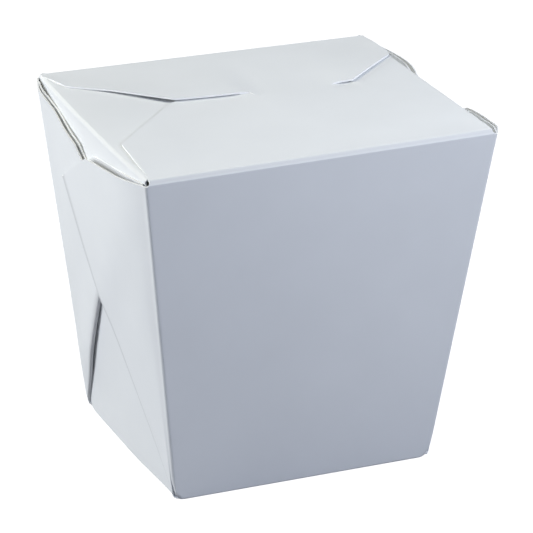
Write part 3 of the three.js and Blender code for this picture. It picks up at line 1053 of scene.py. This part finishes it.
@dataclass(frozen=True)
class BoardFinish:
    """White coated board: a matt face with a fine fibre grain and a faint mottle, and paler raw cut edges.

    Creases are rubbed pale, with a painted highlight, where their mark is positive, and get a painted shade
    where it is negative. The cut edges are paler raw board, and their paleness is partly a painted highlight.
    The scales of the grain are per metre, and grain_height is in metres.
    """

    face: Colour = (0.820, 0.835, 0.850)
    # cut edges: paler raw board, and partly a painted highlight
    edge: Colour = (0.89, 0.895, 0.90)
    inner: Colour = (0.83, 0.84, 0.85)
    # painted shade: the darker colour laid on the folds where shade falls
    painted_shade: Colour = (0.575, 0.585, 0.60)
    # how far positive crease marks go pale: rubbed board and a painted highlight
    rub_and_highlight: float = 0.12
    specular: float = 0.28
    roughness: Span = (0.56, 0.70)
    fibre_scale: float = 2200.0
    fibre_detail: float = 4.0
    fibre_roughness: float = 0.62
    fibre_range: Span = (0.25, 0.75)
    grain_height: float = 0.00004
    grain_strength: float = 0.35
    mottle_scale: float = 46.0
    mottle_detail: float = 3.0
    mottle_range: Span = (0.3, 0.7)
    mottle_shade: Span = (0.985, 1.01)

    def grain_group(self) -> bpy.types.NodeTree:
        """A node group of paper grain, with a fine fibre height and a broad, faint mottle.

        Returns:
            The group: input Scale; outputs Height and Mottle.
        """
        group = bpy.data.node_groups.new("paper grain", "ShaderNodeTree")
        scale = group.interface.new_socket("Scale", in_out="INPUT", socket_type="NodeSocketFloat")
        scale.default_value = 1.0
        group.interface.new_socket("Height", in_out="OUTPUT", socket_type="NodeSocketFloat")
        group.interface.new_socket("Mottle", in_out="OUTPUT", socket_type="NodeSocketFloat")
        nodes, links = group.nodes, group.links
        entry = nodes.new("NodeGroupInput")
        leave = nodes.new("NodeGroupOutput")
        place = nodes.new("ShaderNodeTexCoord")
        sized = nodes.new("ShaderNodeVectorMath")
        sized.operation = "SCALE"
        links.new(place.outputs["Object"], sized.inputs[0])
        links.new(entry.outputs["Scale"], sized.inputs["Scale"])
        fibre = nodes.new("ShaderNodeTexNoise")
        fibre.inputs["Scale"].default_value = self.fibre_scale
        fibre.inputs["Detail"].default_value = self.fibre_detail
        fibre.inputs["Roughness"].default_value = self.fibre_roughness
        broad = nodes.new("ShaderNodeTexNoise")
        broad.inputs["Scale"].default_value = self.mottle_scale
        broad.inputs["Detail"].default_value = self.mottle_detail
        links.new(sized.outputs[0], fibre.inputs["Vector"])
        links.new(sized.outputs[0], broad.inputs["Vector"])
        links.new(fibre.outputs[0], leave.inputs["Height"])
        links.new(broad.outputs[0], leave.inputs["Mottle"])
        return group

    def material(self, group: bpy.types.NodeTree) -> bpy.types.Material:
        """Makes the material of every piece of board.

        Args:
            group: The grain's node group.

        Returns:
            The material.
        """
        made = bpy.data.materials.new("white paperboard")
        made.use_nodes = True
        nodes, links = made.node_tree.nodes, made.node_tree.links
        shader = nodes["Principled BSDF"]
        shader.inputs["Specular IOR Level"].default_value = self.specular
        grain = nodes.new("ShaderNodeGroup")
        grain.node_tree = group

        def mark(name: str) -> bpy.types.NodeSocket:
            """Reads one of the meshes' marks.

            Args:
                name: The attribute's name.

            Returns:
                The socket that gives its value.
            """
            node = nodes.new("ShaderNodeAttribute")
            node.attribute_name = name
            return node.outputs["Fac"]

        def mapped(value: bpy.types.NodeSocket, source: Span, target: Span) -> bpy.types.NodeSocket:
            """Maps a value from one range to another, and holds it there.

            Args:
                value: The socket that gives the value.
                source: The range that it has.
                target: The range that it gets.

            Returns:
                The socket that gives the mapped value.
            """
            node = nodes.new("ShaderNodeMapRange")
            for name, limit in zip(("From Min", "From Max", "To Min", "To Max"), (*source, *target)):
                node.inputs[name].default_value = limit
            links.new(value, node.inputs["Value"])
            return node.outputs["Result"]

        def over(lower: bpy.types.NodeSocket, colour: Colour,
                 mask: bpy.types.NodeSocket) -> bpy.types.NodeSocket:
            """Lays a colour over another by a mask.

            Args:
                lower: The socket that gives the colour below.
                colour: The colour on top.
                mask: The socket that gives the mask.

            Returns:
                The socket that gives the colour that shows.
            """
            node = nodes.new("ShaderNodeMix")
            node.data_type = "RGBA"
            node.inputs["B"].default_value = (*colour, 1.0)
            links.new(lower, node.inputs["A"])
            links.new(mask, node.inputs["Factor"])
            return node.outputs["Result"]

        def part(value: bpy.types.NodeSocket, factor: float) -> bpy.types.NodeSocket:
            """Multiplies a mark and keeps it within 0 and 1.

            Args:
                value: The socket that gives the mark.
                factor: What it is multiplied by. A negative factor picks out the negative marks.

            Returns:
                The socket that gives the mask.
            """
            node = nodes.new("ShaderNodeMath")
            node.operation = "MULTIPLY"
            node.use_clamp = True
            node.inputs[1].default_value = factor
            links.new(value, node.inputs[0])
            return node.outputs[0]

        tint = nodes.new("ShaderNodeMix")
        tint.data_type = "RGBA"
        tint.blend_type = "MULTIPLY"
        tint.inputs["Factor"].default_value = 1.0
        tint.inputs["A"].default_value = (*self.face, 1.0)
        shade = mapped(grain.outputs["Mottle"], self.mottle_range, self.mottle_shade)
        links.new(shade, tint.inputs["B"])
        crease = mark("crease")
        colour = over(tint.outputs["Result"], self.inner, mark("inner_face"))
        # rubbed pale board and a painted highlight where the crease mark is positive
        colour = over(colour, self.edge, part(crease, self.rub_and_highlight))
        # painted shade where the crease mark is negative
        colour = over(colour, self.painted_shade, part(crease, -1.0))
        # cut edges paler: raw board, and partly a painted highlight
        colour = over(colour, self.edge, mark("cut_edge"))
        links.new(colour, shader.inputs["Base Color"])
        rough = mapped(grain.outputs["Height"], self.fibre_range, self.roughness)
        links.new(rough, shader.inputs["Roughness"])
        bump = nodes.new("ShaderNodeBump")
        bump.inputs["Strength"].default_value = self.grain_strength
        bump.inputs["Distance"].default_value = self.grain_height
        links.new(grain.outputs["Height"], bump.inputs["Height"])
        links.new(bump.outputs["Normal"], shader.inputs["Normal"])
        return made


@dataclass
class Carton:
    """The whole carton: two end sheets, two side panels and the base.

    Pairs of webs and dust flaps give the left one first. The outlines of the locking flaps leave out their
    two ends on the fold, and the two numbers of each _ends field are the depths there, left and right.
    """

    blank: Blank = field(default_factory=Blank)
    finish: BoardFinish = field(default_factory=BoardFinish)
    dust_flaps: tuple[DustFlap, DustFlap] = (
        DustFlap(((0.0, 0.0), (4.0, 0.05), (10.0, -0.05), (18.0, -0.4), (28.0, -1.1), (38.0, -1.5))),
        DustFlap(((0.0, 0.0), (10.0, -0.2), (20.0, -0.45), (38.0, -0.65))),
    )
    front_webs: tuple[Web, Web] = (
        Web(Side.LEFT, 1.85, (
            (0.0, 1.05), (5.5, 2.45), (12.3, 3.6), (22.4, 4.25),
            (31.0, 4.5), (38.6, 4.9), (50.0, 5.2), (62.0, 4.6),
        )),
        Web(Side.RIGHT, 0.6, (
            (0.0, 1.05), (5.4, 4.2), (9.4, 6.2), (19.6, 8.9), (30.0, 11.2),
            (36.0, 12.1), (41.0, 11.9), (50.0, 9.0), (62.0, 5.0),
        )),
    )
    back_webs: tuple[Web, Web] = (
        Web(Side.LEFT, 0.35, (
            (0.0, 1.05), (1.2, 1.4), (3.0, 2.05), (6.8, 3.0), (12.0, 3.0),
            (18.0, 2.95), (32.4, 4.0), (42.0, 4.1), (62.0, 3.0),
        ), slot_lift=0.5),
        Web(Side.RIGHT, 0.8, (
            (0.0, 1.05), (3.0, 2.9), (8.2, 5.9), (17.2, 8.8), (26.4, 7.3), (40.0, 4.4), (62.0, 2.9),
        ), slot_lift=0.5),
    )
    front_outline: Knots = (
        (-51.6, -41.2), (-49.75, -17.4), (-24.7, 9.3), (-23.0, 10.2), (-20.5, 15.0), (-1.5, 15.0),
        (-0.3, 8.8), (1.1, 5.9), (23.6, 6.0), (27.2, 7.3), (29.0, 13.0), (31.0, 13.0), (33.0, 4.6),
        (39.7, -3.2), (50.6, -11.8), (51.6, -30.0),
    )
    front_ends: Span = (-43.0, -43.0)
    back_outline: Knots = (
        (-48.9, 30.4), (-38.3, 22.9), (-33.4, 18.7), (-23.2, 10.4), (-22.7, 10.1), (-8.2, 9.0),
        (-0.3, 8.7), (1.1, 5.9), (3.6, -4.0), (21.6, -4.0), (23.6, 6.0), (27.2, 7.3), (31.9, 7.0),
        (51.4, 23.3),
    )
    back_ends: Span = (41.8, 26.0)

    def locking_flap(self, end: End) -> LockingFlap:
        """A locking flap, with its outline led to the two ends of its fold.

        Args:
            end: Front or back.

        Returns:
            The flap.
        """
        edge = self.blank.flap_half_width
        front = end is End.FRONT
        outline = self.front_outline if front else self.back_outline
        left, right = self.front_ends if front else self.back_ends
        return LockingFlap(((-edge, left), *outline, (edge, right)), end)

    def front_sheet(self) -> EndSheet:
        """The front end sheet, whose corners are open where the creases meet.

        Returns:
            The sheet.
        """
        flap = self.locking_flap(End.FRONT)
        return EndSheet(self.blank, End.FRONT, self.front_webs, flap, self.dust_flaps)

    def back_sheet(self) -> EndSheet:
        """The back end sheet, whose corners are tighter and shut.

        Returns:
            The sheet.
        """
        return EndSheet(
            self.blank, End.BACK, self.back_webs, self.locking_flap(End.BACK), self.dust_flaps,
            foot_corner_radius=1.6, foot_pinch=0.5, corner_dip=0.0, drawn_in=0.0,
        )

    def build(self) -> list[bpy.types.Object]:
        """Builds and dresses every piece.

        Returns:
            The pieces.
        """
        left_dust_flap, right_dust_flap = self.dust_flaps
        makers = [
            self.front_sheet(),
            self.back_sheet(),
            SidePanel(self.blank, Side.LEFT, left_dust_flap),
            SidePanel(self.blank, Side.RIGHT, right_dust_flap),
            Base(self.blank),
        ]
        board = self.finish.material(self.finish.grain_group())
        pieces = []
        for maker in makers:
            piece = maker.build()
            piece.data.materials.append(board)
            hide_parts(CAD_NODE)
            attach(piece, "root")
            log.info("%s: %d faces", piece.name, len(piece.data.polygons))
            pieces.append(piece)
        return pieces


@dataclass(frozen=True)
class Softbox:
    """A square soft light: its place, size and aim in metres, and its power in watts."""

    name: str
    place: tuple[float, float, float]
    size: float
    power: float
    colour: Colour
    aim: tuple[float, float, float] = (0.0, 0.0, 0.05)

    def build(self) -> bpy.types.Object:
        """Hangs the light and turns it to its aim.

        Returns:
            The light.
        """
        data = bpy.data.lights.new(self.name, "AREA")
        data.shape = "SQUARE"
        data.size = self.size
        data.energy = self.power
        data.color = self.colour
        made = bpy.data.objects.new(self.name, data)
        bpy.context.scene.collection.objects.link(made)
        made.location = self.place
        made.rotation_mode = "QUATERNION"
        made.rotation_quaternion = (Vector(self.aim) - Vector(self.place)).to_track_quat("-Z", "Y")
        return made


@dataclass(frozen=True)
class Studio:
    """A pale floor, soft lights and the camera at the photograph's viewing angle, in metres."""

    azimuth: float = math.radians(-23.5975)
    elevation: float = math.radians(23.0851)
    roll: float = math.radians(0.9837)
    distance: float = 1.07995
    target: tuple[float, float, float] = (0.002353, 0.0, 0.052756)
    focal_pixels: float = 3683.8
    image_pixels: float = 533.0
    sensor: float = 36.0
    clip_start: float = 0.05
    clip_end: float = 20.0
    floor_reach: float = 6.0
    floor_colour: Colour = (0.25, 0.25, 0.26)
    floor_roughness: float = 0.9
    sky_colour: Colour = (0.47, 0.62, 1.0)
    sky_strength: float = 0.17
    lights: tuple[Softbox, ...] = (
        Softbox("left light", (-0.75, 0.2, 0.24), 0.45, 5.1, (0.92, 0.945, 0.965)),
        Softbox("high left light", (-0.34, 0.16, 0.82), 0.45, 2.5, (1.0, 0.94, 0.66)),
        Softbox("front light", (0.28, -0.38, 0.40), 0.3, 2.45, (0.875, 0.915, 1.0)),
        Softbox("right light", (0.45, -0.12, 0.50), 0.45, 0.3, (0.95, 0.98, 1.0)),
    )

    def camera(self) -> bpy.types.Object:
        """Places the camera round the target and turns it by its roll.

        Returns:
            The camera.
        """
        data = bpy.data.cameras.new("camera")
        data.sensor_width = self.sensor
        data.lens = self.focal_pixels / self.image_pixels * self.sensor
        data.clip_start = self.clip_start
        data.clip_end = self.clip_end
        made = bpy.data.objects.new("camera", data)
        bpy.context.scene.collection.objects.link(made)
        az, el = self.azimuth, self.elevation
        back = Vector((math.sin(az) * math.cos(el), -math.cos(az) * math.cos(el), math.sin(el)))
        right = (-back).cross(Vector((0, 0, 1))).normalized()
        up = right.cross(-back)
        across = right * math.cos(self.roll) + up * math.sin(self.roll)
        above = up * math.cos(self.roll) - right * math.sin(self.roll)
        place = Vector(self.target) + back * self.distance
        turned = Matrix((across, above, back)).transposed().to_4x4()
        made.matrix_world = Matrix.Translation(place) @ turned
        bpy.context.scene.camera = made
        return made

    def floor(self) -> bpy.types.Object:
        """Lays the pale floor just under the carton, which the camera sees as plain white.

        Returns:
            The floor.
        """
        reach = self.floor_reach
        corners = [(-reach, -reach, 0), (reach, -reach, 0), (reach, reach, 0), (-reach, reach, 0)]
        mesh = bpy.data.meshes.new("floor")
        mesh.from_pydata(corners, [], [(0, 1, 2, 3)])
        made = bpy.data.objects.new("floor", mesh)
        bpy.context.scene.collection.objects.link(made)
        pale = bpy.data.materials.new("pale floor")
        pale.use_nodes = True
        nodes, links = pale.node_tree.nodes, pale.node_tree.links
        shader = nodes["Principled BSDF"]
        shader.inputs["Base Color"].default_value = (*self.floor_colour, 1.0)
        shader.inputs["Roughness"].default_value = self.floor_roughness
        shader.inputs["Specular IOR Level"].default_value = 0.0
        shader.inputs["Emission Color"].default_value = (1.0, 1.0, 1.0, 1.0)
        seen = nodes.new("ShaderNodeLightPath")
        links.new(seen.outputs["Is Camera Ray"], shader.inputs["Emission Strength"])
        mesh.materials.append(pale)
        return made

    def build(self) -> None:
        """Sets up the world's light, the softboxes, the floor and the camera."""
        scene = bpy.context.scene
        world = bpy.data.worlds.new("studio")
        world.use_nodes = True
        sky = world.node_tree.nodes["Background"]
        sky.inputs["Color"].default_value = (*self.sky_colour, 1.0)
        sky.inputs["Strength"].default_value = self.sky_strength
        scene.world = world
        for light in self.lights:
            light.build()
        self.floor()
        self.camera()
        scene.view_settings.view_transform = "Standard"
        scene.view_settings.look = "None"


def main() -> None:
    logging.basicConfig(level=logging.INFO, format="%(name)s: %(message)s")
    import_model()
    pieces = Carton().build()
    Studio().build()
    log.info("%d pieces", len(pieces))


if __name__ == "__main__":
    main()
